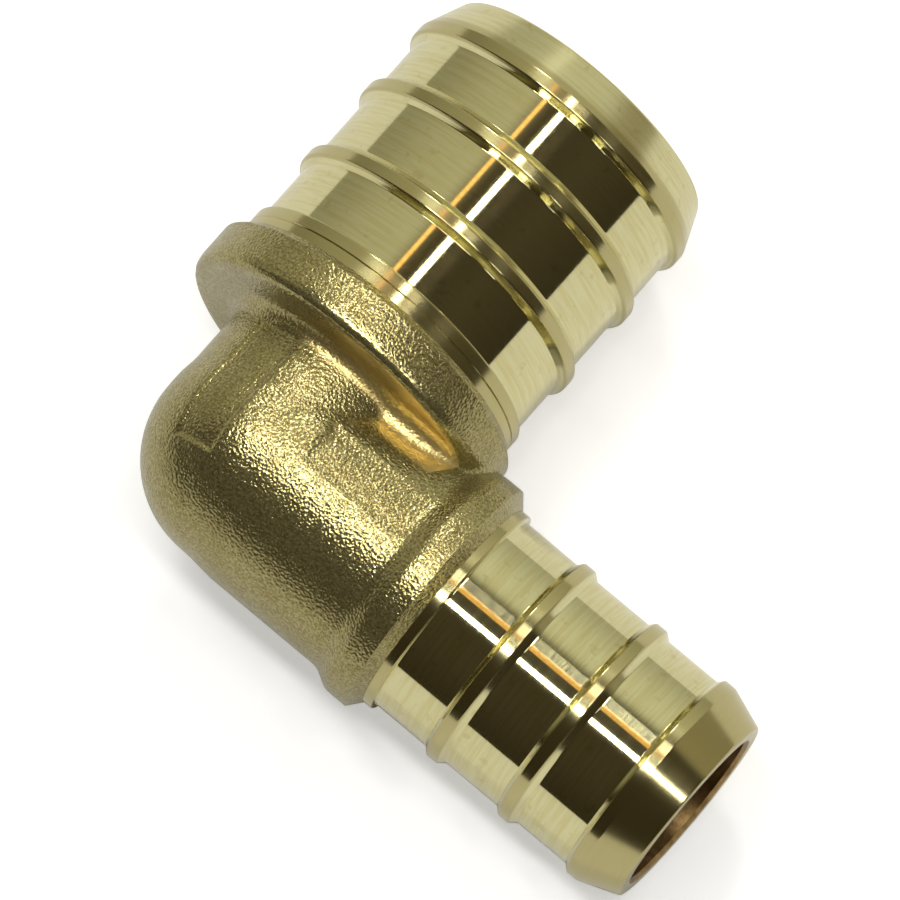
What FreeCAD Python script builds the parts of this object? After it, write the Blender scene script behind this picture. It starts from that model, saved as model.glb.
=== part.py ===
import FreeCAD, Part
import math
import os
import Sketcher

# Brass reducing elbow with a large and a small crimp barb, forged and turned from one piece.
# It is modelled with the crossing of the two waterways at the origin, the small barb along +X
# and the large barb along +Y, and is then laid down the way it comes to rest on a table.

NAME = "reducing_elbow"

# Driving sizes in millimetres
SIZES = {
    # Elbow body
    "heel_radius": 6.15,
    "heel_inset": 0.45,
    "heel_blend": 1.5,
    "small_body_radius": 6.3,
    "large_body_radius": 6.02,
    "neck_round": 0.8,
    "web_bite": 0.06,
    "web_start": 3.2,
    "web_start_round": 1.0,
    "web_middle": 6.0,
    "web_middle_round": 0.9,
    "web_end": 8.1,
    "web_end_round": 0.1,
    # Large leg, from the crossing outwards
    "large_collar_back": 5.05,
    "large_collar_width": 2.82,
    "large_collar_radius": 9.22,
    "large_collar_chamfer": 0.4,
    "large_shoulder_length": 1.38,
    "large_shoulder_radius": 8.52,
    "large_land_radius": 8.22,
    "large_barb_radius": 8.62,
    "large_rib_start": 4.58,
    "large_rib_pitch": 4.58,
    "large_head_start": 13.13,
    "large_head_taper": 2.15,
    "large_tip_radius": 7.75,
    # Small leg, from the crossing outwards
    "small_collar_back": 8.45,
    "small_collar_rise": 1.0,
    "small_collar_crest": 1.25,
    "small_collar_fall": 0.6,
    "small_collar_radius": 6.88,
    "small_shoulder_length": 0.55,
    "small_shoulder_radius": 6.12,
    "small_land_radius": 5.82,
    "small_barb_radius": 6.14,
    "small_rib_start": 3.82,
    "small_rib_pitch": 4.62,
    "small_head_start": 12.86,
    "small_head_taper": 2.15,
    "small_tip_radius": 5.35,
    # One rib, the same on both barbs
    "rib_count": 2,
    "rib_back": 0.3,
    "rib_crest": 0.6,
    "rib_front": 0.4,
    # Two shallow bare panels in the body
    "panel_depth": 0.15,
    "panel_draft": 0.05,
    "heel_panel_start": -2.9,
    "heel_panel_bend": -0.9,
    "heel_panel_foot_radius": 5.3,
    "heel_panel_length": 7.0,
    "heel_panel_turn": -33.0,
    "heel_panel_spread": 25.0,
    "face_panel_start": 2.0,
    "face_panel_length": 6.3,
    "face_panel_turn": 7.0,
    "face_panel_spread": 21.0,
    # Waterways
    "small_bore_radius": 4.4,
    "large_bore_radius": 6.7,
    "large_bore_floor": 8.2,
    "large_cone_length": 1.4,
    "bore_past_crossing": 0.5,
    "drill_point_length": 2.6,
    "mouth_chamfer": 0.2,
}

# Stations along each leg, from the crossing outwards
LARGE_FRONT = "large_collar_back + large_collar_width"
LARGE_STEP = f"{LARGE_FRONT} + large_shoulder_length"
LARGE_RIB = f"{LARGE_FRONT} + large_rib_start"
LARGE_HEAD = f"{LARGE_FRONT} + large_head_start"
LARGE_CREST_END = f"{LARGE_HEAD} + rib_back + rib_crest"
LARGE_TIP = f"{LARGE_CREST_END} + large_head_taper"
SMALL_RISEN = "small_collar_back + small_collar_rise"
SMALL_FALLING = f"{SMALL_RISEN} + small_collar_crest"
SMALL_FRONT = f"{SMALL_FALLING} + small_collar_fall"
SMALL_STEP = f"{SMALL_FRONT} + small_shoulder_length"
SMALL_RIB = f"{SMALL_FRONT} + small_rib_start"
SMALL_HEAD = f"{SMALL_FRONT} + small_head_start"
SMALL_CREST_END = f"{SMALL_HEAD} + rib_back + rib_crest"
SMALL_TIP = f"{SMALL_CREST_END} + small_head_taper"

doc = FreeCAD.newDocument("Elbow")
sheet = doc.addObject("Spreadsheet::Sheet", "Sizes")
for row, (alias, size) in enumerate(SIZES.items(), start=1):
    sheet.set(f"A{row}", alias)
    sheet.set(f"B{row}", str(size))
    sheet.setAlias(f"B{row}", alias)
doc.recompute()

body = doc.addObject("PartDesign::Body", NAME)
body.Label = NAME
origin = {feature.Role: feature for feature in body.Origin.OriginFeatures}


def cells(text):
    """Turn a sum of size names into an expression on the sheet's cells."""
    return " ".join(f"Sizes.{word}" if word in SIZES else word for word in text.split())


def total(text):
    """Work out a sum of size names."""
    value, sign = 0.0, 1
    for word in text.split():
        if word in ("+", "-"):
            sign = 1 if word == "+" else -1
        else:
            value += sign * (SIZES[word] if word in SIZES else float(word))
    return value


def pin(sketch, number, end, across, along):
    """Hold a point of the sketch by its two coordinates."""
    for kind, text in (("DistanceX", across), ("DistanceY", along)):
        held = sketch.addConstraint(Sketcher.Constraint(kind, -1, 1, number, end, total(text)))
        if text != "0":
            sketch.setExpression(f"Constraints[{held}]", cells(text))


def outline(name, corners, rounds):
    """Draw a closed outline anticlockwise on the elbow's plane. Each corner is held by its two
    coordinates, and rounds gives the radius of each corner that is rounded."""
    sketch = body.newObject("Sketcher::SketchObject", name)
    sketch.AttachmentSupport = [(origin["XY_Plane"], "")]
    sketch.MapMode = "FlatFace"
    count = len(corners)
    places = [FreeCAD.Vector(total(x), total(y), 0) for x, y in corners]
    leaves = list(places)
    reaches = list(places)
    bends = {}
    for number, text in rounds.items():
        corner = places[number]
        before = (places[number - 1] - corner).normalize()
        after = (places[(number + 1) % count] - corner).normalize()
        half = before.getAngle(after) / 2
        trim = total(text) / math.tan(half)
        reaches[number] = corner + before * trim
        leaves[number] = corner + after * trim
        centre = corner + (before + after).normalize() * (total(text) / math.sin(half))
        middle = centre + (corner - centre).normalize() * total(text)
        bends[number] = (middle, before.cross(after).z < 0)
    for number in range(count):
        end = reaches[(number + 1) % count]
        sketch.addGeometry(Part.LineSegment(leaves[number], end), False)
    for number, (across, along) in enumerate(corners):
        side_in = (number - 1) % count
        if number not in rounds:
            sketch.addConstraint(Sketcher.Constraint("Coincident", side_in, 2, number, 1))
            pin(sketch, number, 1, across, along)
            continue
        middle, outward = bends[number]
        arc = sketch.addGeometry(Part.Arc(reaches[number], middle, leaves[number]), False)
        first, last = (1, 2) if outward else (2, 1)
        mark = sketch.addGeometry(Part.Point(places[number]), True)
        pin(sketch, mark, 1, across, along)
        sketch.addConstraint(Sketcher.Constraint("PointOnObject", mark, 1, side_in))
        sketch.addConstraint(Sketcher.Constraint("PointOnObject", mark, 1, number))
        sketch.addConstraint(Sketcher.Constraint("Tangent", side_in, 2, arc, first))
        sketch.addConstraint(Sketcher.Constraint("Tangent", number, 1, arc, last))
        held = sketch.addConstraint(Sketcher.Constraint("Radius", arc, total(rounds[number])))
        sketch.setExpression(f"Constraints[{held}]", cells(rounds[number]))
    return sketch


def turned(kind, name, axis, corners, rounds=None, angle="360"):
    """Turn an outline about one of the elbow's axes, to add to the body or cut from it."""
    sketch = outline(f"{name}_outline", corners, rounds or {})
    feature = body.newObject(f"PartDesign::{kind}", name)
    feature.Profile = (sketch, [""])
    feature.ReferenceAxis = (origin[axis], [""])
    feature.Midplane = True
    feature.Angle = total(angle)
    if angle in SIZES:
        feature.setExpression("Angle", cells(angle))
    doc.recompute()
    return feature


def swung(groove, axis, angle):
    """Swing a groove's outline about its axis, from the elbow's plane to where it cuts."""
    sketch = groove.Profile[0]
    sketch.AttachmentOffset = FreeCAD.Placement(FreeCAD.Vector(), FreeCAD.Rotation(axis, 1))
    sketch.setExpression("AttachmentOffset.Rotation.Angle", angle)
    doc.recompute()


def ball(name, radius, place):
    """Add a ball, its centre as far along both legs."""
    feature = body.newObject("PartDesign::AdditiveSphere", name)
    feature.AttachmentSupport = [(origin["XY_Plane"], "")]
    feature.MapMode = "FlatFace"
    feature.setExpression("Radius", cells(radius))
    for way in ("x", "y"):
        feature.setExpression(f"AttachmentOffset.Base.{way}", cells(place))
    doc.recompute()
    return feature


def web_section(name, station, bend):
    """Draw the web across the small leg, with a hollow round that meets collar and body."""
    sketch = body.newObject("Sketcher::SketchObject", name)
    sketch.AttachmentSupport = [(origin["YZ_Plane"], "")]
    sketch.MapMode = "FlatFace"
    sketch.setExpression("AttachmentOffset.Base.z", cells(station))
    back = total(f"large_collar_back - {bend}")
    reach = total(f"small_body_radius + {bend} - web_bite")
    tops = []
    feet = []
    arcs = []
    for aside in (math.sqrt(reach ** 2 - back ** 2), -math.sqrt(reach ** 2 - back ** 2)):
        centre = FreeCAD.Vector(back, aside, 0)
        to_top = FreeCAD.Vector(total(bend), 0, 0)
        to_foot = centre * (-total(bend) / reach)
        to_middle = (to_top + to_foot).normalize() * total(bend)
        tops.append(centre + to_top)
        feet.append(centre + to_foot)
        arc = Part.Arc(centre + to_top, centre + to_middle, centre + to_foot)
        arcs.append(sketch.addGeometry(arc, False))
    middle = FreeCAD.Vector(0, 0, 0)
    down = sketch.addGeometry(Part.LineSegment(feet[0], middle), False)
    up = sketch.addGeometry(Part.LineSegment(middle, feet[1]), False)
    across = sketch.addGeometry(Part.LineSegment(tops[1], tops[0]), False)
    for kind, *ends in (
        ("Coincident", down, 1, arcs[0], 1),
        ("Coincident", down, 2, -1, 1),
        ("Coincident", up, 1, -1, 1),
        ("Coincident", up, 2, arcs[1], 2),
        ("Vertical", across),
        ("Tangent", across, 1, arcs[1], 1),
        ("Tangent", across, 2, arcs[0], 2),
        ("PointOnObject", arcs[0], 3, down),
        ("PointOnObject", arcs[1], 3, up),
    ):
        sketch.addConstraint(Sketcher.Constraint(kind, *ends))
    for kind, ends, text in (
        ("DistanceX", (-1, 1, across, 1), "large_collar_back"),
        ("Distance", (-1, 1, arcs[0], 3), f"small_body_radius + {bend} - web_bite"),
        ("Distance", (-1, 1, arcs[1], 3), f"small_body_radius + {bend} - web_bite"),
        ("Radius", (arcs[0],), bend),
        ("Radius", (arcs[1],), bend),
    ):
        held = sketch.addConstraint(Sketcher.Constraint(kind, *ends, total(text)))
        sketch.setExpression(f"Constraints[{held}]", cells(text))
    return sketch


def repeated(name, rib, axis, pitch):
    """Repeat a rib along its leg."""
    pattern = body.newObject("PartDesign::LinearPattern", name)
    pattern.Originals = [rib]
    pattern.Direction = (origin[axis], [""])
    pattern.setExpression("Occurrences", "Sizes.rib_count")
    pattern.setExpression("Length", f"Sizes.{pitch} * (Sizes.rib_count - 1)")
    body.Tip = pattern
    doc.recompute()


# Heel: a ball that blends into both legs, and a smaller one that fills out the outer corner
heel = ball("heel", "heel_radius", "0")
heel_corner = ball("heel_corner", "heel_radius - heel_inset", "- heel_inset")

# Small leg: round body, low collar, shoulder and barb head
turned("Revolution", "small_leg", "X_Axis", [
    ("0", "0"),
    (SMALL_TIP, "0"),
    (SMALL_TIP, "small_tip_radius"),
    (SMALL_CREST_END, "small_barb_radius"),
    (f"{SMALL_HEAD} + rib_back", "small_barb_radius"),
    (SMALL_HEAD, "small_land_radius"),
    (SMALL_STEP, "small_land_radius"),
    (SMALL_STEP, "small_shoulder_radius"),
    (SMALL_FRONT, "small_shoulder_radius"),
    (SMALL_FALLING, "small_collar_radius"),
    (SMALL_RISEN, "small_collar_radius"),
    ("small_collar_back", "small_body_radius"),
    ("heel_blend", "small_body_radius"),
    ("0", "heel_radius"),
])

# Large leg: round body, wide collar with a rounded neck behind it, shoulder and barb head
turned("Revolution", "large_leg", "Y_Axis", [
    ("0", "0"),
    ("heel_radius", "0"),
    ("large_body_radius", "heel_blend"),
    ("large_body_radius", "large_collar_back"),
    ("large_collar_radius - large_collar_chamfer", "large_collar_back"),
    ("large_collar_radius", "large_collar_back + large_collar_chamfer"),
    ("large_collar_radius", f"{LARGE_FRONT} - large_collar_chamfer"),
    ("large_collar_radius - large_collar_chamfer", LARGE_FRONT),
    ("large_shoulder_radius", LARGE_FRONT),
    ("large_shoulder_radius", LARGE_STEP),
    ("large_land_radius", LARGE_STEP),
    ("large_land_radius", LARGE_HEAD),
    ("large_barb_radius", f"{LARGE_HEAD} + rib_back"),
    ("large_barb_radius", LARGE_CREST_END),
    ("large_tip_radius", LARGE_TIP),
    ("0", LARGE_TIP),
], {3: "neck_round"})

# Web that carries the rounded neck on between the collar and the small leg, fading outwards
web_root = web_section("web_root", "web_start", "web_start_round")
web_waist = web_section("web_waist", "web_middle", "web_middle_round")
web_tip = web_section("web_tip", "web_end", "web_end_round")
web = body.newObject("PartDesign::AdditiveLoft", "web")
web.Profile = (web_root, [""])
web.Sections = [(web_waist, [""]), (web_tip, [""])]
web.Ruled = True
doc.recompute()

# Ribs of the two barbs
small_rib = turned("Revolution", "small_rib", "X_Axis", [
    (SMALL_RIB, "small_bore_radius"),
    (f"{SMALL_RIB} + rib_back + rib_crest + rib_front", "small_bore_radius"),
    (f"{SMALL_RIB} + rib_back + rib_crest + rib_front", "small_land_radius"),
    (f"{SMALL_RIB} + rib_back + rib_crest", "small_barb_radius"),
    (f"{SMALL_RIB} + rib_back", "small_barb_radius"),
    (SMALL_RIB, "small_land_radius"),
])
repeated("small_ribs", small_rib, "X_Axis", "small_rib_pitch")
large_rib = turned("Revolution", "large_rib", "Y_Axis", [
    ("large_bore_radius", LARGE_RIB),
    ("large_land_radius", LARGE_RIB),
    ("large_barb_radius", f"{LARGE_RIB} + rib_back"),
    ("large_barb_radius", f"{LARGE_RIB} + rib_back + rib_crest"),
    ("large_land_radius", f"{LARGE_RIB} + rib_back + rib_crest + rib_front"),
    ("large_bore_radius", f"{LARGE_RIB} + rib_back + rib_crest + rib_front"),
])
repeated("large_ribs", large_rib, "Y_Axis", "large_rib_pitch")

# Panels, one along each leg
heel_panel = turned("Groove", "heel_panel", "Y_Axis", [
    ("heel_panel_foot_radius", "heel_panel_start"),
    ("heel_radius + neck_round", "heel_panel_start"),
    ("heel_radius + neck_round", "heel_panel_start + heel_panel_length"),
    ("large_body_radius - panel_depth", "heel_panel_start + heel_panel_length"),
    ("large_body_radius - panel_depth", "heel_blend"),
    ("heel_radius - panel_depth", "heel_panel_bend"),
], angle="heel_panel_spread")
swung(heel_panel, FreeCAD.Vector(0, 1, 0), "Sizes.heel_panel_turn - 90")
face_panel = turned("Groove", "face_panel", "X_Axis", [
    ("face_panel_start", "small_body_radius - panel_depth + panel_draft"),
    ("face_panel_start + face_panel_length", "small_body_radius - panel_depth - panel_draft"),
    ("face_panel_start + face_panel_length", "small_body_radius + neck_round"),
    ("face_panel_start", "small_body_radius + neck_round"),
], angle="face_panel_spread")
swung(face_panel, FreeCAD.Vector(1, 0, 0), "90 - Sizes.face_panel_turn")

# Waterways, drilled from the two ends until they meet
turned("Groove", "small_waterway", "X_Axis", [
    ("- bore_past_crossing - drill_point_length", "0"),
    (SMALL_TIP, "0"),
    (SMALL_TIP, "small_bore_radius + mouth_chamfer"),
    (f"{SMALL_TIP} - mouth_chamfer", "small_bore_radius"),
    ("- bore_past_crossing", "small_bore_radius"),
])
turned("Groove", "large_waterway", "Y_Axis", [
    ("0", "- bore_past_crossing - drill_point_length"),
    ("small_bore_radius", "- bore_past_crossing"),
    ("small_bore_radius", "large_bore_floor - large_cone_length"),
    ("large_bore_radius", "large_bore_floor"),
    ("large_bore_radius", f"{LARGE_TIP} - mouth_chamfer"),
    ("large_bore_radius + mouth_chamfer", LARGE_TIP),
    ("0", LARGE_TIP),
])
doc.recompute()
for thing in doc.Objects:
    if {"Invalid", "Error"} & set(thing.State):
        raise RuntimeError(f"{thing.Name} failed: {thing.State}")

# It rests on the large collar and on both barb heads, so that both legs lean a little
collar_edge = total(f"{LARGE_FRONT} - large_collar_chamfer")
large_crest = total(LARGE_CREST_END)
small_crest = total(SMALL_CREST_END)
taper = total("large_collar_radius - large_barb_radius")
large_lean = math.atan2(taper, large_crest - collar_edge)
height = collar_edge * math.sin(large_lean) + total("large_collar_radius") * math.cos(large_lean)
small_reach = math.hypot(small_crest, total("small_barb_radius"))
small_lean = math.asin(height / small_reach) - math.atan2(total("small_barb_radius"), small_crest)
down_x = math.sin(small_lean)
down_y = math.sin(large_lean)
down = FreeCAD.Vector(down_x, down_y, -math.sqrt(1 - down_x ** 2 - down_y ** 2))
laid = FreeCAD.Rotation(down, FreeCAD.Vector(0, 0, -1))
body.Placement = FreeCAD.Placement(FreeCAD.Vector(), laid)
box = body.Shape.optimalBoundingBox(False, False)
corner = FreeCAD.Vector(box.Center.x, box.Center.y, box.ZMin)
body.Placement = FreeCAD.Placement(corner.negative(), laid)
os.makedirs("parts", exist_ok=True)
body.Shape.exportStep(f"parts/{NAME}.step")
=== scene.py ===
import math

import bpy
from mathutils import Matrix, Vector


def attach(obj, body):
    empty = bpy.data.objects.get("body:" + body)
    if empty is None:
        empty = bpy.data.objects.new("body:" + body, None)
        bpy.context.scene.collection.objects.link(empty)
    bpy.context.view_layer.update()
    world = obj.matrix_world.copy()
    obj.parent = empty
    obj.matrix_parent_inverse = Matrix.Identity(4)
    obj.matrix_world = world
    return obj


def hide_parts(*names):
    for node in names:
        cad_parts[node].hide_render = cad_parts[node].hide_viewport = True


# Brass reducing elbow: a blasted forging with a wide and a narrow turned barb, lying on a pale table.
# It is modelled in millimetres with the crossing of its waterways at the centre, the narrow leg
# along X and the wide leg along Y, and is laid into the frame at the end.

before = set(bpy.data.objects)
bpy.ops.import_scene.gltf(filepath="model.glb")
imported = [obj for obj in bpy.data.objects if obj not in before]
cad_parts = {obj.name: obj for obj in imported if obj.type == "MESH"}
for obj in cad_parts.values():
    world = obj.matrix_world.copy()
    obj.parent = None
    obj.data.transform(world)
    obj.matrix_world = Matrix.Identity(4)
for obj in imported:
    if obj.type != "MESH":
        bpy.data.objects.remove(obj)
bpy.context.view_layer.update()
print("frame loaded")

alongX = Vector((1, 0, 0))
alongY = Vector((0, 1, 0))

millimetre = 0.001

# How the elbow lies: the ways of its legs in the frame, and the crossing of its waterways in millimetres
restPlace = {
    "narrowLeg": (0.99052659, -0.00286664, -0.13729115),
    "wideLeg": (-0.00286664, 0.99913256, -0.04154414),
    "crossing": (-9.2227601, -8.7206129, 9.5223749),
}
narrowLeg = Vector(restPlace["narrowLeg"])
wideLeg = Vector(restPlace["wideLeg"])
elbowUp = narrowLeg.cross(wideLeg)
crossing = Vector(restPlace["crossing"]) * millimetre

drawing = {
    "arcStep": 12,            # degrees to each step of a rounded corner
    "arcShare": 0.48,         # most of a side that one rounding may take
    "hold": 0.06,             # how close to its ends a long run gets its extra points
    "longRun": 0.3,
    "merge": 0.0005,          # points closer than this become one
    "smoothAngle": 28,        # sharper edges stay sharp
}

# Radii of the two waterways
narrowBore = 4.4
wideBore = 6.7


def deselectAll():
    if bpy.context.object and bpy.context.object.mode != "OBJECT":
        bpy.ops.object.mode_set(mode="OBJECT")
    bpy.ops.object.select_all(action="DESELECT")


def useOnly(piece):
    deselectAll()
    piece.select_set(True)
    bpy.context.view_layer.objects.active = piece


def joinPieces(pieces):
    # All of them become one piece, the first
    deselectAll()
    for piece in pieces:
        piece.select_set(True)
    bpy.context.view_layer.objects.active = pieces[0]
    bpy.ops.object.join()


def placed(place, ways):
    # The matrix that puts a piece at a place, with its own axes along the three ways
    return Matrix.Translation(place) @ Matrix(ways).transposed().to_4x4()


def applyModifier(piece, kind, **settings):
    useOnly(piece)
    modifier = piece.modifiers.new(kind.lower(), kind)
    for setting, value in settings.items():
        setattr(modifier, setting, value)
    bpy.ops.object.modifier_apply(modifier=modifier.name)


def roundedLine(corners):
    # Corners are (along the leg, radius, rounding), and each rounded one becomes a short arc
    line = []
    for number, (along, radius, rounding) in enumerate(corners):
        here = Vector((along, radius))
        if rounding == 0:
            line.append(here)
            continue
        before = Vector(corners[number - 1][:2]) - here
        after = Vector(corners[(number + 1) % len(corners)][:2]) - here
        # The arc starts and ends this far from the corner, and its middle lies on the line that halves it
        half = before.angle(after) / 2
        trim = min(rounding / math.tan(half), before.length * drawing["arcShare"], after.length * drawing["arcShare"])
        reach = trim / math.cos(half)
        middle = here + (before.normalized() + after.normalized()).normalized() * reach
        start = here + before.normalized() * trim - middle
        end = here + after.normalized() * trim - middle
        steps = max(3, round(math.degrees(start.angle(end)) / drawing["arcStep"]))
        for step in range(steps + 1):
            turn = start.angle(end) * step / steps
            side = (end - start * start.normalized().dot(end) / start.length).normalized() * start.length
            line.append(middle + start * math.cos(turn) + side * math.sin(turn))
    return heldLine(line)


def heldLine(line):
    # Points close to both ends of each long run keep its shading straight
    hold = drawing["hold"]
    held = []
    for before, after in zip(line, line[1:] + line[:1]):
        held.append(before)
        run = after - before
        if run.length > drawing["longRun"]:
            held += [before + run.normalized() * hold, after - run.normalized() * hold]
    return held


def drawLoop(name, points):
    # A closed line drawn point by point from one vertex
    deselectAll()
    bpy.ops.mesh.primitive_plane_add(size=0.01, location=points[0])
    piece = bpy.context.object
    piece.name = name
    bpy.ops.object.transform_apply(location=True, rotation=True, scale=True)
    bpy.ops.object.mode_set(mode="EDIT")
    bpy.ops.mesh.select_mode(type="VERT")
    bpy.ops.mesh.select_all(action="SELECT")
    bpy.ops.mesh.merge(type="CENTER")
    for before, after in zip(points, points[1:] + points[:1]):
        bpy.ops.mesh.extrude_vertices_move(TRANSFORM_OT_translate={"value": after - before})
    bpy.ops.mesh.select_all(action="SELECT")
    bpy.ops.mesh.remove_doubles(threshold=drawing["merge"])
    bpy.ops.object.mode_set(mode="OBJECT")
    return piece


def turnPiece(name, leg, corners, steps):
    # The outline of a turned piece, spun about its leg
    across = alongY if leg == alongX else alongX
    piece = drawLoop(name, [leg * point.x + across * point.y for point in roundedLine(corners)])
    bpy.ops.object.mode_set(mode="EDIT")
    bpy.ops.mesh.select_all(action="SELECT")
    bpy.ops.mesh.spin(steps=steps, angle=math.tau, center=(0, 0, 0), axis=leg)
    bpy.ops.mesh.select_all(action="SELECT")
    bpy.ops.mesh.remove_doubles(threshold=drawing["merge"])
    bpy.ops.mesh.normals_make_consistent(inside=False)
    bpy.ops.object.mode_set(mode="OBJECT")
    return piece


forging = {
    "heel": 6.15,             # radius of the ball at the crossing
    "heelCorner": 5.7,        # smaller ball that fills out the outer corner
    "heelCornerInset": 0.45,
    "narrowTrunk": [
        (0, 0, 0), (0, 6.15, 0), (1.5, 6.3, 0), (8.45, 6.3, 0.5), (9.45, 6.88, 0.4), (13, 6.88, 0), (13, 0, 0),
    ],
    "wideTrunk": [
        (0, 0, 0), (0, 6.15, 0), (1.5, 6.02, 0), (5.05, 6.02, 0.8), (5.05, 8.72, 0.1), (5.22, 9.13, 0.12),
        (5.7, 9.22, 0.2), (9.5, 9.22, 0), (9.5, 0, 0),
    ],
    # the web behind the wide collar: station along the narrow leg and hollow of each section
    "web": [(1.0, 0.5), (1.8, 0.65), (2.6, 0.8), (3.6, 1.0), (5.0, 0.98), (6.2, 0.84), (7.2, 0.55), (8.1, 0.1)],
    "webTop": 5.05,
    "webOverlap": 0.6,        # how far the web runs into the collar
    "webReach": 6.24,
    "webSteps": 8,
    "voxel": 0.155,
    "softness": 6,            # rounds of smoothing
    "steps": 128,             # round each ball and trunk
}


def webSection(station, bend, values):
    # Half of the section runs from the collar through the hollow to the narrow leg
    back = values["webTop"] - bend
    reach = values["webReach"] + bend
    side = math.sqrt(reach ** 2 - back ** 2)
    towardsLeg = Vector((-back, -side)).normalized()
    steps = values["webSteps"]
    hollow = [Vector((back, side)) + Vector((1, 0)).slerp(towardsLeg, step / steps) * bend for step in range(steps + 1)]
    front = [Vector((station, values["webTop"] + values["webOverlap"], side))]
    front += [Vector((station, point.x, point.y)) for point in hollow]
    rear = [Vector((point.x, point.y, -point.z)) for point in reversed(front)]
    return drawLoop("web", front + [Vector((station, 0, 0))] + rear)


def addWeb(values):
    # Sections across the narrow leg, bridged one to the next
    sections = [webSection(station, bend, values) for station, bend in values["web"]]
    joinPieces(sections)
    bpy.ops.object.mode_set(mode="EDIT")
    bpy.ops.mesh.select_all(action="SELECT")
    bpy.ops.mesh.bridge_edge_loops()
    bpy.ops.mesh.select_all(action="SELECT")
    bpy.ops.mesh.fill_holes(sides=0)
    bpy.ops.mesh.select_all(action="SELECT")
    bpy.ops.mesh.normals_make_consistent(inside=False)
    bpy.ops.object.mode_set(mode="OBJECT")
    return sections[0]


def addBall(radius, place, steps):
    deselectAll()
    bpy.ops.mesh.primitive_uv_sphere_add(segments=steps, ring_count=steps // 2, radius=radius, location=place)
    return bpy.context.object


def addForging(values):
    # Balls, trunks and web are melted together into one skin
    inset, steps = values["heelCornerInset"], values["steps"]
    heel = addBall(values["heel"], (0, 0, 0), steps)
    joinPieces([
        heel,
        addBall(values["heelCorner"], (-inset, -inset, 0), steps),
        turnPiece("narrowTrunk", alongX, values["narrowTrunk"], steps),
        turnPiece("wideTrunk", alongY, values["wideTrunk"], steps),
        addWeb(values),
    ])
    heel.name = "forging"
    bpy.ops.object.transform_apply(location=True, rotation=True, scale=True)
    applyModifier(heel, "REMESH", mode="VOXEL", voxel_size=values["voxel"], adaptivity=0)
    applyModifier(heel, "SMOOTH", factor=0.5, iterations=values["softness"])
    return heel


panels = {
    "above": 2,               # they are on the upper side only
    "leastHeight": 3,         # over the leg's middle line, on the side that a panel faces
    "endsAt": 6.6,            # and fade out where the trunk widens
    "fade": 0.3,
    "finer": 2,               # width of the border in which the mesh is made finer
    # turn is from straight up, towards the heel or the collar, and edge is the width of the sloping border
    "heel": {"leg": alongY, "turn": 33, "spread": 25, "from": -2.9, "to": 4.3, "depth": 0.13, "edge": 0.38},
    "face": {"leg": alongX, "turn": 7, "spread": 21, "from": 2.0, "to": 8.3, "depth": 0.08, "edge": 0.6},
}


def panelSink(place, name, values, edge):
    # How far a point of the forging sinks: full depth inside the panel, nothing outside
    panel = values[name]
    leg = panel["leg"]
    if place.z < values["above"]:
        return place, 0
    other = alongY if leg == alongX else -alongX
    lean = math.radians(panel["turn"])
    facing = Vector((0, 0, math.cos(lean))) + other * math.sin(lean)
    along = place.dot(leg)
    out = place - leg * along
    height = out.dot(facing)
    if height < values["leastHeight"]:
        return out, 0
    aside = abs(math.atan2(out.dot(leg.cross(facing)), height)) * out.length
    halfWidth = math.radians(panel["spread"] / 2) * out.length
    room = min(along - panel["from"], panel["to"] - along, halfWidth - aside)
    slope = min(max(room / edge + 0.5, 0), 1)
    fade = min(max((values["endsAt"] - out.length) / values["fade"], 0), 1)
    return out, panel["depth"] * fade * slope * slope * (3 - 2 * slope)


def sinkPanels(piece, values):
    # The mesh is made finer where the panels are, and then pressed in
    useOnly(piece)
    bpy.ops.object.mode_set(mode="EDIT")
    bpy.ops.mesh.select_all(action="DESELECT")
    bpy.ops.object.mode_set(mode="OBJECT")
    for face in piece.data.polygons:
        face.select = any(panelSink(face.center, name, values, values["finer"])[1] > 0 for name in ("heel", "face"))
    bpy.ops.object.mode_set(mode="EDIT")
    bpy.ops.mesh.select_mode(type="FACE")
    bpy.ops.mesh.subdivide(number_cuts=1)
    bpy.ops.mesh.vertices_smooth(factor=0.5, repeat=2)
    bpy.ops.object.mode_set(mode="OBJECT")
    for vertex in piece.data.vertices:
        for name in ("heel", "face"):
            out, sink = panelSink(vertex.co, name, values, values[name]["edge"])
            if sink > 0:
                vertex.co -= out.normalized() * sink


waterways = {
    "narrow": [(-3.1, 0, 0), (-0.5, narrowBore, 0), (12, narrowBore, 0), (12, 0, 0)],
    "wide": [
        (-3.1, 0, 0), (-0.5, narrowBore, 0), (6.8, narrowBore, 0),
        (8.2, wideBore, 0), (9.2, wideBore, 0), (9.2, 0, 0),
    ],
    "narrowFront": [(11.3, 0, 0), (11.3, 6.16, 0), (10.7, 6.88, 0), (10.1, 7.6, 0), (14, 7.6, 0), (14, 0, 0)],
    "wideFront": [(7.87, 0, 0), (7.87, 8.82, 0), (6.97, 9.72, 0), (10.5, 9.72, 0), (10.5, 0, 0)],
    "steps": 144,
}


def cutTurned(piece, values):
    # The forging is faced off at both collars and drilled
    for name, leg in (("wideFront", alongY), ("narrowFront", alongX), ("narrow", alongX), ("wide", alongY)):
        cutter = turnPiece("cutter", leg, values[name], values["steps"])
        applyModifier(piece, "BOOLEAN", operation="DIFFERENCE", solver="EXACT", object=cutter)
        bpy.data.objects.remove(cutter)


# The ribs are alike on both barbs: how far beyond its first foot a rib's crest and second foot are
rib = {
    "crestStart": 0.3,
    "crestEnd": 0.9,
    "secondFoot": 1.3,
    "footRounding": 0.04,
}

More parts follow.
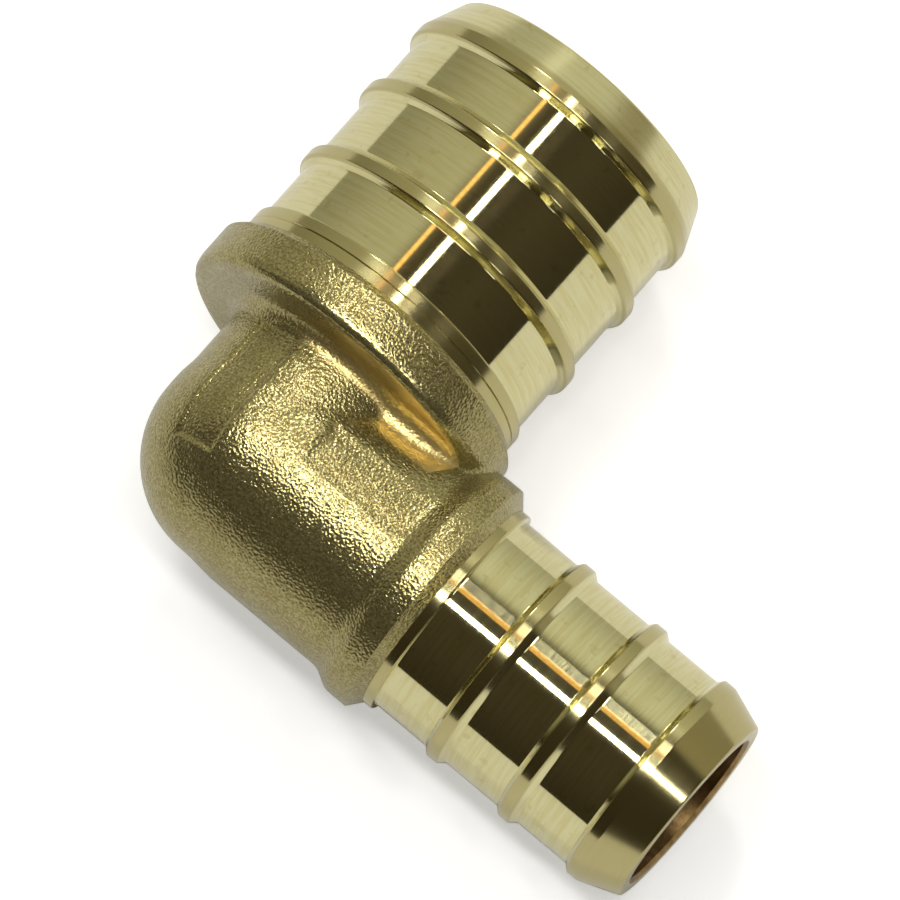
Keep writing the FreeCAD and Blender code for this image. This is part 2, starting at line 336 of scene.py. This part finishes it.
# Each barb is a closed ring: its back in the collar, shoulder, ribs, head, mouth and the waterway inside
wideBarb = {
    "land": 8.22,             # radius between the ribs
    "crest": 8.62,            # radius on the ribs
    "crestRounding": 0.1,
    "ribs": [12.45, 17.03],   # where each rib's first foot is
    "head": 21.0,             # where the head's foot is
    "headRounding": 0.15,
    "back": [(7.87, 6.158, 0), (7.5, 7.0, 0)],
    "shoulder": [
        (7.5, 8.52, 0), (8.5, 8.52, 0), (8.55, 8.48, 0), (8.6, 8.52, 0), (9.25, 8.52, 0.1), (9.25, 8.22, 0.06),
    ],
    "mouth": [(24.05, 7.75, 0.2), (24.05, 6.9, 0.03), (23.85, wideBore, 0), (8.2, wideBore, 0)],
    "steps": 144,
    "taperDarkening": 0.0,         # how much darker in tone the head's taper is
}
narrowBarb = {
    "land": 5.82,
    "crest": 6.14,
    "crestRounding": 0.09,
    "ribs": [15.12, 19.74],
    "head": 24.16,
    "headRounding": 0.12,
    "back": [(11.3, narrowBore, 0), (11.0, 4.8, 0)],
    "shoulder": [(11.0, 6.12, 0), (11.85, 6.12, 0.08), (11.85, 5.82, 0.06)],
    "mouth": [(27.21, 5.35, 0.15), (27.21, 4.6, 0.03), (27.01, narrowBore, 0)],
    "steps": 144,
    "taperDarkening": 0.85,
}


def ribCorners(foot, values):
    return [
        (foot, values["land"], rib["footRounding"]),
        (foot + rib["crestStart"], values["crest"], values["crestRounding"]),
        (foot + rib["crestEnd"], values["crest"], values["crestRounding"]),
        (foot + rib["secondFoot"], values["land"], rib["footRounding"]),
    ]


def addBarb(name, leg, values):
    # The head starts as a rib does, and then tapers to the mouth
    headStart = ribCorners(values["head"], values)[:2]
    headEnd = (values["head"] + rib["crestEnd"], values["crest"], values["headRounding"])
    corners = values["back"] + values["shoulder"]
    for foot in values["ribs"]:
        corners += ribCorners(foot, values)
    corners += headStart + [headEnd] + values["mouth"]
    return turnPiece(name, leg, corners, values["steps"])


def layDown(piece):
    # From modelling place in millimetres to the frame in metres
    piece.matrix_world = placed(crossing, (narrowLeg, wideLeg, elbowUp)) @ Matrix.Scale(millimetre, 4)
    useOnly(piece)
    bpy.ops.object.transform_apply(location=True, rotation=True, scale=True)


body = addForging(forging)
sinkPanels(body, panels)
print("forging", len(body.data.polygons))
cutTurned(body, waterways)
print("faced and drilled", len(body.data.polygons))
wide = addBarb("wideBarb", alongY, wideBarb)
narrow = addBarb("narrowBarb", alongX, narrowBarb)
print("barbs", len(wide.data.polygons) + len(narrow.data.polygons))


def addNode(tree, kind, inputs=None, **settings):
    # A node with its settings, whose inputs are given values or wired to other nodes' outputs
    node = tree.nodes.new(kind)
    for setting, value in settings.items():
        setattr(node, setting, value)
    for socket, value in (inputs or {}).items():
        if isinstance(value, bpy.types.NodeSocket):
            tree.links.new(value, node.inputs[socket])
        else:
            node.inputs[socket].default_value = value
    return node


def calc(tree, operation, first, second=0.0):
    return addNode(tree, "ShaderNodeMath", {0: first, 1: second}, operation=operation).outputs[0]


def ease(tree, value, low, high):
    # Rises smoothly from 0 to 1 between the two limits
    inputs = {"Value": value, "From Min": low, "From Max": high}
    return addNode(tree, "ShaderNodeMapRange", inputs, interpolation_type="SMOOTHSTEP").outputs["Result"]


def easeDown(tree, value, low, high):
    return calc(tree, "SUBTRACT", 1.0, ease(tree, value, low, high))


def together(tree, masks):
    # Where all of the masks are 1
    product = masks[0]
    for mask in masks[1:]:
        product = calc(tree, "MULTIPLY", product, mask)
    return product


def blend(tree, factor, first, second):
    inputs = {"Factor": factor, "A": first, "B": second}
    return addNode(tree, "ShaderNodeMix", inputs, data_type="RGBA").outputs["Result"]


def vectorCalc(tree, operation, first, second):
    return addNode(tree, "ShaderNodeVectorMath", {0: first, 1: second}, operation=operation).outputs[0]


def reachAlong(tree, place, way):
    # How far a place lies along a way
    return addNode(tree, "ShaderNodeVectorMath", {0: place, 1: way}, operation="DOT_PRODUCT").outputs["Value"]


def fromAxis(tree, parts):
    # How far a point is from a leg's middle line
    flat = addNode(tree, "ShaderNodeCombineXYZ", parts).outputs[0]
    return addNode(tree, "ShaderNodeVectorMath", {0: flat}, operation="LENGTH").outputs["Value"]


def useGroup(tree, name, inputs):
    return addNode(tree, "ShaderNodeGroup", inputs, node_tree=groups[name])


def noise(tree, place, scale, detail, roughness, distortion=0.0):
    inputs = {"Vector": place, "Scale": scale, "Detail": detail, "Roughness": roughness, "Distortion": distortion}
    return addNode(tree, "ShaderNodeTexNoise", inputs).outputs["Fac"]


def rescale(tree, value, low, high):
    # Turns 0 to 1 into low to high
    return addNode(tree, "ShaderNodeMapRange", {"Value": value, "To Min": low, "To Max": high}).outputs["Result"]


def startGroup(name, inputs, outputs):
    group = bpy.data.node_groups.new(name, "ShaderNodeTree")
    for socket, kind in inputs:
        group.interface.new_socket(name=socket, in_out="INPUT", socket_type="NodeSocket" + kind)
    for socket, kind in outputs:
        group.interface.new_socket(name=socket, in_out="OUTPUT", socket_type="NodeSocket" + kind)
    return group, addNode(group, "NodeGroupInput"), addNode(group, "NodeGroupOutput")


def elbowPlaceGroup():
    # Where a point is on the elbow, in millimetres from the crossing, and how far from each leg's middle
    group, given, result = startGroup(
        "elbowPlace", [("Object", "Vector")],
        [("Place", "Vector"), ("Along Narrow", "Float"), ("Along Wide", "Float"),
         ("Narrow Radius", "Float"), ("Wide Radius", "Float")])
    shifted = vectorCalc(group, "SUBTRACT", given.outputs["Object"], crossing)
    reach = [reachAlong(group, shifted, way / millimetre) for way in (narrowLeg, wideLeg, elbowUp)]
    for socket, value in (
        ("Place", addNode(group, "ShaderNodeCombineXYZ", {"X": reach[0], "Y": reach[1], "Z": reach[2]}).outputs[0]),
        ("Along Narrow", reach[0]),
        ("Along Wide", reach[1]),
        ("Narrow Radius", fromAxis(group, {"Y": reach[1], "Z": reach[2]})),
        ("Wide Radius", fromAxis(group, {"X": reach[0], "Z": reach[2]})),
    ):
        group.links.new(value, result.inputs[socket])
    return group


# Detail and roughness of each noise, and the stretch of it over which its mask rises
markNoise = {
    "rings": (4.0, 0.7),
    "streaks": (5.0, 0.65),
    "streakMask": (0.38, 0.66),
}
tarnishNoise = {
    "drift": (3.0, 0.55),
    "driftMask": (0.3, 0.7),
    "spots": (4.0, 0.5),
    "spotMask": (0.6, 0.72),
    "spotCloseness": 4.0,     # spots to each patch of drift
}


def turningMarksGroup(values):
    # Fine rings left by the turning tool, and the streaky sheen that polishing leaves over them
    group, given, result = startGroup(
        "turningMarks", [("Place", "Vector"), ("Ring Stretch", "Vector"), ("Streak Stretch", "Vector")],
        [("Height", "Float"), ("Streaks", "Float")])
    ringPlace = vectorCalc(group, "MULTIPLY", given.outputs["Place"], given.outputs["Ring Stretch"])
    streakPlace = vectorCalc(group, "MULTIPLY", given.outputs["Place"], given.outputs["Streak Stretch"])
    rings = noise(group, ringPlace, 1.0, *values["rings"])
    streaks = noise(group, streakPlace, 1.0, *values["streaks"])
    group.links.new(rings, result.inputs["Height"])
    group.links.new(ease(group, streaks, *values["streakMask"]), result.inputs["Streaks"])
    return group


def tarnishGroup(values):
    # Slow drift of the brass's tone, with a few darker stains
    group, given, result = startGroup(
        "tarnish", [("Place", "Vector"), ("Size", "Float")], [("Drift", "Float"), ("Stains", "Float")])
    closeness = calc(group, "DIVIDE", 1.0, given.outputs["Size"])
    spotCloseness = calc(group, "MULTIPLY", closeness, values["spotCloseness"])
    drift = noise(group, given.outputs["Place"], closeness, *values["drift"])
    spots = noise(group, given.outputs["Place"], spotCloseness, *values["spots"])
    group.links.new(ease(group, drift, *values["driftMask"]), result.inputs["Drift"])
    group.links.new(ease(group, spots, *values["spotMask"]), result.inputs["Stains"])
    return group


groups = {
    "elbowPlace": elbowPlaceGroup(),
    "turningMarks": turningMarksGroup(markNoise),
    "tarnish": tarnishGroup(tarnishNoise),
}


def startMaterial(name):
    # A metal with the elbow's own coordinates ready
    material = bpy.data.materials.new(name)
    material.use_nodes = True
    tree = material.node_tree
    shader = tree.nodes["Principled BSDF"]
    shader.inputs["Metallic"].default_value = 1
    coords = addNode(tree, "ShaderNodeTexCoord")
    where = useGroup(tree, "elbowPlace", {"Object": coords.outputs["Object"]})
    return material, tree, shader, where


def addBump(tree, shader, height, distance):
    bump = addNode(tree, "ShaderNodeBump", {"Height": height, "Distance": distance, "Strength": 1.0})
    tree.links.new(bump.outputs["Normal"], shader.inputs["Normal"])


blastedBrass = {
    "high": (0.46, 0.41, 0.19, 1),
    "low": (0.28, 0.235, 0.09, 1),
    "stain": (0.27, 0.22, 0.085, 1),
    "grain": 0.125,           # millimetres from one bump to the next
    "grainNoise": (1.5, 0.5, 0.3),    # detail, roughness and distortion
    "grainShare": 0.6,
    "grainMask": (0.38, 0.62),
    "dentCloseness": 0.8,     # dents to each bump of the grain
    "dentSmoothness": 0.6,
    "dentShare": 0.8,
    "bump": 0.000036,
    "roughness": 0.185,
    "metal": 0.84,            # the rest is the dull film on the blasted skin
    # painted reflection: the groove's golden tone is brighter than the brass, standing in for light bouncing in the
    # hollow
    "groove": (0.76, 0.59, 0.23, 1),
    "grooveRoughness": 0.32,
    "grooveReflectionShare": 0.85,      # how much of the painted golden reflection the groove shows
    "tarnishSize": 2.2,
    "drift": 0.18,            # how much the tone and the roughness drift over the skin
    "roughnessDrift": 0.06,
    "stains": 0.5,
    "grooveCalm": 0.3,        # how far the blasting is smoothed out in the groove and on the collar's back edge
    "lipCalm": 0.75,
    # where the groove and the collar's back edge start and end, in millimetres
    "bend": (2.6, 4.2),       # along the narrow leg, where the groove's front edge comes forward
    "frontEdge": (4.2, 3.2),
    "edgeBlur": (-0.12, 0.2),
    "collarFace": (5.08, 5.16),
    "collarRim": (8.75, 8.85),
    "grooveStart": (-4.5, 1.5),
    "grooveEnd": (8.4, 8.9),
    "lipStart": (5.1, 5.25),
    "lipEnd": (5.5, 5.75),
    "lipRim": (8.9, 9.05),
}


def blastedMaterial(values):
    # Shot-blasted skin of the forging, with a smoother groove behind the wide collar whose golden, brighter tone is a
    # painted reflection of light bouncing between the brass faces
    material, tree, shader, where = startMaterial("blasted brass")
    place, alongNarrow = where.outputs["Place"], where.outputs["Along Narrow"]
    alongWide, wideRadius = where.outputs["Along Wide"], where.outputs["Wide Radius"]
    closeness = 1 / values["grain"]
    grain = noise(tree, place, closeness, *values["grainNoise"])
    dents = addNode(tree, "ShaderNodeTexVoronoi", {
        "Vector": place,
        "Scale": closeness * values["dentCloseness"],
        "Smoothness": values["dentSmoothness"],
    }, feature="SMOOTH_F1").outputs["Distance"]
    grainHeight = calc(tree, "MULTIPLY", grain, values["grainShare"])
    dentHeight = calc(tree, "MULTIPLY", dents, values["dentShare"])
    height = calc(tree, "ADD", grainHeight, dentHeight)

    frontEdge = rescale(tree, ease(tree, alongNarrow, *values["bend"]), *values["frontEdge"])
    groove = together(tree, [
        ease(tree, calc(tree, "SUBTRACT", alongWide, frontEdge), *values["edgeBlur"]),
        easeDown(tree, alongWide, *values["collarFace"]),
        easeDown(tree, wideRadius, *values["collarRim"]),
        ease(tree, alongNarrow, *values["grooveStart"]),
        easeDown(tree, alongNarrow, *values["grooveEnd"]),
    ])
    lip = calc(tree, "SUBTRACT", ease(tree, alongWide, *values["lipStart"]), ease(tree, alongWide, *values["lipEnd"]))
    lip = calc(tree, "MULTIPLY", lip, ease(tree, wideRadius, *values["lipRim"]))

    tarnish = useGroup(tree, "tarnish", {"Place": place, "Size": values["tarnishSize"]})
    tone = blend(tree, ease(tree, grain, *values["grainMask"]), values["low"], values["high"])
    tone = blend(tree, calc(tree, "MULTIPLY", tarnish.outputs["Stains"], values["stains"]), tone, values["stain"])
    tone = blend(tree, calc(tree, "MULTIPLY", tarnish.outputs["Drift"], values["drift"]), tone, values["stain"])
    # painted golden reflection in the groove behind the wide collar; its smoothness and roughness are real
    tone = blend(tree, calc(tree, "MULTIPLY", groove, values["grooveReflectionShare"]), tone, values["groove"])
    tree.links.new(tone, shader.inputs["Base Color"])
    drifted = values["roughness"] + values["roughnessDrift"]
    roughness = rescale(tree, tarnish.outputs["Drift"], values["roughness"], drifted)
    lift = calc(tree, "MULTIPLY", groove, values["grooveRoughness"] - values["roughness"])
    tree.links.new(calc(tree, "ADD", roughness, lift), shader.inputs["Roughness"])
    shader.inputs["Metallic"].default_value = values["metal"]
    grooveCalm = calc(tree, "MULTIPLY", groove, values["grooveCalm"])
    lipCalm = calc(tree, "MULTIPLY", lip, values["lipCalm"])
    rest = calc(tree, "SUBTRACT", 1.0, calc(tree, "MAXIMUM", grooveCalm, lipCalm))
    addBump(tree, shader, calc(tree, "MULTIPLY", height, rest), values["bump"])
    return material


turnedBrass = {
    "bright": (0.75, 0.71, 0.41, 1),
    "dull": (0.68, 0.62, 0.31, 1),
    "stain": (0.50, 0.42, 0.17, 1),
    "crest": (0.48, 0.42, 0.19, 1),
    "roughness": 0.065,
    "dullRoughness": 0.09,
    "crestRoughness": 0.2,
    "anisotropy": 0.8,        # the rings spread every shine along the leg
    "bump": 0.0000009,
    "ringStretch": 12.0,      # rings to each millimetre along the leg
    "ringAround": 0.1,        # and round it
    "streakStretch": 5.0,
    "streakAround": 0.25,
    "crestDarkening": 0.8,
    "tarnishSize": 2.6,
    "stains": 0.35,
    "crestStart": (0.2, 0.3),    # above the land
    "taperStart": (-0.1, 0.1),   # along the leg from the head's crest
}


def turnedMaterial(name, leg, barb, values):
    # Bright turned brass with fine rings; the crests and the head's taper are rougher and darker in tone
    material, tree, shader, where = startMaterial(name)
    legName, legWay = ("Narrow", narrowLeg) if leg == alongX else ("Wide", wideLeg)
    across = Vector((1, 1, 1)) - leg
    marks = useGroup(tree, "turningMarks", {
        "Place": where.outputs["Place"],
        "Ring Stretch": leg * values["ringStretch"] + across * values["ringAround"],
        "Streak Stretch": leg * values["streakStretch"] + across * values["streakAround"],
    })
    tarnish = useGroup(tree, "tarnish", {"Place": where.outputs["Place"], "Size": values["tarnishSize"]})
    head = barb["head"] + rib["crestStart"]
    crest = ease(tree, where.outputs[legName + " Radius"], *(barb["land"] + rise for rise in values["crestStart"]))
    taper = ease(tree, where.outputs["Along " + legName], *(head + step for step in values["taperStart"]))
    worked = calc(tree, "MAXIMUM", crest, taper)
    tone = blend(tree, marks.outputs["Streaks"], values["bright"], values["dull"])
    tone = blend(tree, calc(tree, "MULTIPLY", tarnish.outputs["Stains"], values["stains"]), tone, values["stain"])
    crestDarkening = calc(tree, "MULTIPLY", crest, values["crestDarkening"])
    taperDarkening = calc(tree, "MULTIPLY", taper, barb["taperDarkening"])
    # the crests, and the head's taper as far as each barb asks, take the darker crest tone
    tone = blend(tree, calc(tree, "MAXIMUM", crestDarkening, taperDarkening), tone, values["crest"])
    tree.links.new(tone, shader.inputs["Base Color"])
    roughness = rescale(tree, marks.outputs["Streaks"], values["roughness"], values["dullRoughness"])
    lift = calc(tree, "MULTIPLY", worked, values["crestRoughness"] - values["dullRoughness"])
    tree.links.new(calc(tree, "ADD", roughness, lift), shader.inputs["Roughness"])
    tangent = addNode(tree, "ShaderNodeCombineXYZ", {0: legWay.x, 1: legWay.y, 2: legWay.z}).outputs[0]
    tree.links.new(tangent, shader.inputs["Tangent"])
    shader.inputs["Anisotropic"].default_value = values["anisotropy"]
    addBump(tree, shader, marks.outputs["Height"], values["bump"])
    return material


boreBrass = {
    "tone": (0.46, 0.30, 0.12, 1),
    "deep": (0.24, 0.15, 0.06, 1),
    "roughness": 0.34,
    "bump": 0.000004,
    "rings": (6, 6, 0.4),
    "streaks": (1.5, 1.5, 0.4),
    "tarnishSize": 1.8,
    "drift": 0.5,
}


def boreMaterial(values):
    # Drilled waterways, darker brown inside
    material, tree, shader, where = startMaterial("drilled brass")
    marks = useGroup(tree, "turningMarks", {
        "Place": where.outputs["Place"],
        "Ring Stretch": values["rings"],
        "Streak Stretch": values["streaks"],
    })
    tarnish = useGroup(tree, "tarnish", {"Place": where.outputs["Place"], "Size": values["tarnishSize"]})
    tone = blend(tree, marks.outputs["Streaks"], values["tone"], values["deep"])
    tone = blend(tree, calc(tree, "MULTIPLY", tarnish.outputs["Drift"], values["drift"]), tone, values["deep"])
    tree.links.new(tone, shader.inputs["Base Color"])
    shader.inputs["Roughness"].default_value = values["roughness"]
    addBump(tree, shader, marks.outputs["Height"], values["bump"])
    return material


# Each stretch of waterway wall: its leg, where it starts and ends along it, and a radius just outside it
waterwayWalls = [
    (alongX, -3.2, 27.2, narrowBore + 0.18),
    (alongY, -3.2, 8.3, narrowBore + 0.06),
    (alongY, 6.7, 24.04, wideBore + 0.18),
]


def inWaterway(place):
    # True for a face's middle that lies on the wall of either waterway, or on the chamfer of a mouth
    for leg, start, end, radius in waterwayWalls:
        reach = place.dot(leg)
        if start < reach < end and (place - leg * reach).length < radius:
            return True
    return False


materials = {
    "blasted": blastedMaterial(blastedBrass),
    "wide": turnedMaterial("turned brass wide", alongY, wideBarb, turnedBrass),
    "narrow": turnedMaterial("turned brass narrow", alongX, narrowBarb, turnedBrass),
    "bore": boreMaterial(boreBrass),
}
for piece, name in ((body, "blasted"), (wide, "wide"), (narrow, "narrow")):
    piece.data.materials.clear()
    piece.data.materials.append(materials[name])
    piece.data.materials.append(materials["bore"])
    for face in piece.data.polygons:
        face.material_index = 1 if inWaterway(face.center) else 0
    layDown(piece)
print("materials", len(materials))

joinPieces([body, wide, narrow])
elbow = bpy.context.object
elbow.name = "elbow"
useOnly(elbow)
bpy.ops.object.shade_smooth_by_angle(angle=math.radians(drawing["smoothAngle"]))
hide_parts("reducing_elbow")
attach(elbow, "root")
print("elbow", len(elbow.data.polygons))

studio = {
    "floor": (0.78, 0.78, 0.78),
    "floorRoughness": 0.8,
    "floorSpecular": 0.1,
    "floorSize": 2.0,
    "floorGlow": 0.46,        # what the camera sees on top of the lit floor
    "floorShine": 0.02,       # what the brass sees on top of it
    # the world's light from each way, and how far round towards that way it starts and is full
    "back": (-0.634, 0.773, 0.0),
    "frontLight": (0.055, 0.044, 0.026),
    "backLight": (0.66, 0.65, 0.54),
    "sideLight": (0.47, 0.45, 0.34),
    "cornerLight": (0.40, 0.36, 0.25),
    "backStart": (0.3, 0.48),
    "sideStart": (0.2, 0.75),
    "cornerStart": ((0.2, 0.45), (0.3, 0.45)),
    "height": (-0.05, 0.85),
    "strength": (0.7, 1.08),  # low down and high up
    "away": 2.0,              # metres from the table to each lamp
    # name, direction in the elbow's own place, long way, half length and half width in radians, radiance, colour
    "lamps": [
        ("longLamp", (-0.08, -0.145, 0.986), (1, 0, 0), 0.38, 0.042, 20, (1, 1, 1)),
        ("taperLamp", (0.564, -0.117, 0.817), (1, 0, 0), 0.09, 0.036, 20, (1, 1, 1)),
        ("crossLamp", (-0.016, 0.267, 0.963), (0, 1, 0), 0.1, 0.03, 14, (1, 1, 1)),
        ("frontFill", (0.14, 0.06, 0.99), (1, 0, 0), 0.06, 0.05, 16, (1, 1, 1)),
        ("heelFill", (-0.37, -0.02, 0.93), (1, 0, 0), 0.07, 0.06, 20, (1, 1, 1)),
        ("backFill", (-0.42, 0.56, 0.71), (1, 0, 0), 0.08, 0.08, 20, (1, 1, 1)),
        ("warmWide", (-0.26, 0.267, 0.928), (0, 1, 0), 0.1, 0.024, 1.7, (1, 0.5, 0.14)),
        ("warmNarrow", (-0.1045, 0.15, 0.982), (1, 0, 0), 0.3, 0.05, 1.0, (1, 0.55, 0.16)),
    ],
}


def toFrame(way):
    # From the elbow's own place to the frame
    return (narrowLeg * way[0] + wideLeg * way[1] + elbowUp * way[2]).normalized()


def addFloor(values):
    # The camera sees the floor whiter than it lights, and it keeps the shadow
    deselectAll()
    bpy.ops.mesh.primitive_plane_add(size=values["floorSize"], location=(0, 0, 0))
    floor = bpy.context.object
    floor.name = "floor"
    material = bpy.data.materials.new("pale table")
    material.use_nodes = True
    tree = material.node_tree
    shader = tree.nodes["Principled BSDF"]
    shader.inputs["Base Color"].default_value = (*values["floor"], 1)
    shader.inputs["Roughness"].default_value = values["floorRoughness"]
    shader.inputs["Specular IOR Level"].default_value = values["floorSpecular"]
    path = addNode(tree, "ShaderNodeLightPath")
    seen = calc(tree, "MULTIPLY", path.outputs["Is Camera Ray"], values["floorGlow"])
    shine = calc(tree, "MULTIPLY", path.outputs["Is Glossy Ray"], values["floorShine"])
    tree.links.new(calc(tree, "MAXIMUM", seen, shine), shader.inputs["Emission Strength"])
    shader.inputs["Emission Color"].default_value = (1, 1, 1, 1)
    floor.data.materials.append(material)


def addWorld(values):
    # Dark in front, pale behind, and dimmer towards the heel's side and low down
    world = bpy.data.worlds.new("studio")
    bpy.context.scene.world = world
    world.use_nodes = True
    tree = world.node_tree
    coords = addNode(tree, "ShaderNodeTexCoord")
    way = coords.outputs["Generated"]
    back = reachAlong(tree, way, toFrame(values["back"]))
    end, side, high = (reachAlong(tree, way, legWay) for legWay in (narrowLeg, wideLeg, elbowUp))
    sideStart = ease(tree, side, *values["sideStart"])
    backStart = ease(tree, back, *values["backStart"])
    cornerEnd, cornerSide = values["cornerStart"]
    corner = calc(tree, "MULTIPLY", ease(tree, end, *cornerEnd), ease(tree, side, *cornerSide))
    pale = blend(tree, sideStart, (*values["sideLight"], 1), (*values["backLight"], 1))
    light = blend(tree, backStart, (*values["frontLight"], 1), pale)
    light = blend(tree, corner, light, (*values["cornerLight"], 1))
    strength = rescale(tree, ease(tree, high, *values["height"]), *values["strength"])
    background = tree.nodes["Background"]
    tree.links.new(light, background.inputs["Color"])
    tree.links.new(strength, background.inputs["Strength"])


def addLamp(away, name, way, longWay, halfLength, halfWidth, radiance, colour):
    # A bright rectangle that faces the elbow, so wide that it shows at the angles asked for
    lamp = bpy.data.lights.new(name, "AREA")
    lamp.shape = "RECTANGLE"
    lamp.size = 2 * away * halfLength
    lamp.size_y = 2 * away * halfWidth
    lamp.energy = radiance * math.pi * lamp.size * lamp.size_y
    lamp.color = colour
    holder = bpy.data.objects.new(name, lamp)
    bpy.context.scene.collection.objects.link(holder)
    back = toFrame(way)
    along = toFrame(longWay)
    along = (along - back * along.dot(back)).normalized()
    holder.matrix_world = placed(back * away, (along, back.cross(along), back))


# The camera that took the photo, found from both barbs
photoView = {
    "right": (0.7674, 0.6401, -0.0374),
    "towards": (0.2358, -0.2275, 0.9448),    # from the elbow to the camera
    "centre": (-0.002633, -0.002601, 0.009351),
    "width": 0.044444,        # metres across the picture
    "lens": 1000,
    "sensor": 36,
    "clip": (0.05, 20),
}


def addCamera(values):
    camera = bpy.data.cameras.new("camera")
    camera.lens = values["lens"]
    camera.sensor_width = values["sensor"]
    camera.clip_start, camera.clip_end = values["clip"]
    holder = bpy.data.objects.new("camera", camera)
    bpy.context.scene.collection.objects.link(holder)
    back = values["width"] / values["sensor"] * values["lens"]
    towards = Vector(values["towards"]).normalized()
    right = Vector(values["right"])
    right = (right - towards * right.dot(towards)).normalized()
    holder.matrix_world = placed(Vector(values["centre"]) + towards * back, (right, towards.cross(right), towards))
    bpy.context.scene.camera = holder


addFloor(studio)
addWorld(studio)
for lampValues in studio["lamps"]:
    addLamp(studio["away"], *lampValues)
addCamera(photoView)
bpy.context.scene.view_settings.view_transform = "Standard"
print("scene built")
